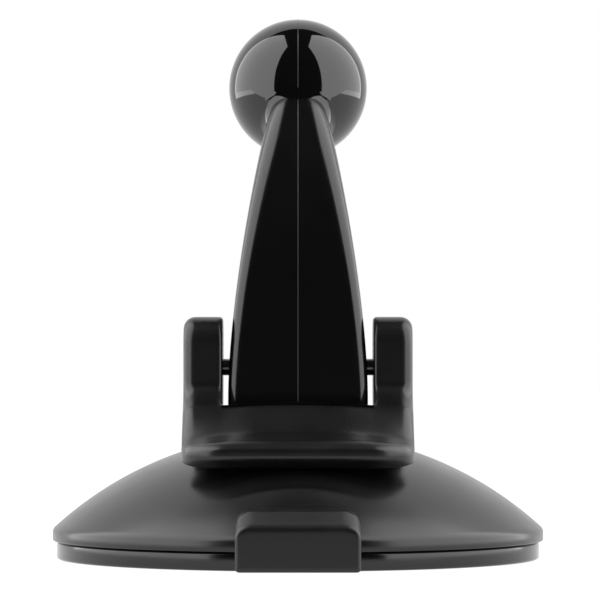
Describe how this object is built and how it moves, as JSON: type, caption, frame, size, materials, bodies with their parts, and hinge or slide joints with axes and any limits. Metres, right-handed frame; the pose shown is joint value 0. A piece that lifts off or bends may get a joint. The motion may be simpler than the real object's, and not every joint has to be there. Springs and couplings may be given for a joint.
{
  "type": "suction-cup phone mount base",
  "caption": "Windscreen suction base with a cam lever, a raked arm and a ball stud for a clamping phone holder.",
  "frame": {"origin": "centre of the suction face, on the glass", "axes": "+Z away from the glass, -Y towards the lever's toe and the pull tab, +X to the right seen from the toe"},
  "size_m": [0.059, 0.0608, 0.0657],
  "materials": {
    "dome_plastic": "satin moulded ABS",
    "arm_plastic": "polished moulded polycarbonate blend",
    "lever_plastic": "fine satin moulded nylon",
    "pad_acetal": "smooth acetal",
    "disc_rubber": "glossy soft vinyl",
    "pin_steel": "ground dark steel",
    "post_steel": "turned zinc-plated steel",
    "spring_steel": "drawn or stamped steel",
    "screw_steel": "zinc-plated steel"
  },
  "bodies": {
    "housing": {"dome_housing": "dome_plastic", "arm": "arm_plastic", "arm_screws": "screw_steel", "cam_pad_right": "pad_acetal", "cam_pad_left": "pad_acetal", "suction_disc": "disc_rubber", "return_spring": "spring_steel"},
    "post": {"pull_post": "post_steel", "core_plate": "spring_steel", "core_screw": "screw_steel", "spring_washer": "spring_steel", "axle_pin": "pin_steel"},
    "lever": {"lever": "lever_plastic"}
  },
  "joints": [
    {"name": "post_lift", "type": "slide", "parent": "housing", "child": "post", "axis": [0, 0, 1], "range_m": [-0.0023, 0], "deforming": ["suction_disc", "return_spring"]},
    {"name": "lever_hinge", "type": "hinge", "parent": "post", "child": "lever", "pos_m": [0, 0, 0.023], "axis": [-1, 0, 0], "range_deg": [0, 75]}
  ],
  "couplings": [
    {"joint": "lever_hinge", "follows": "post_lift", "rad_per_m": -569.12}
  ]
}
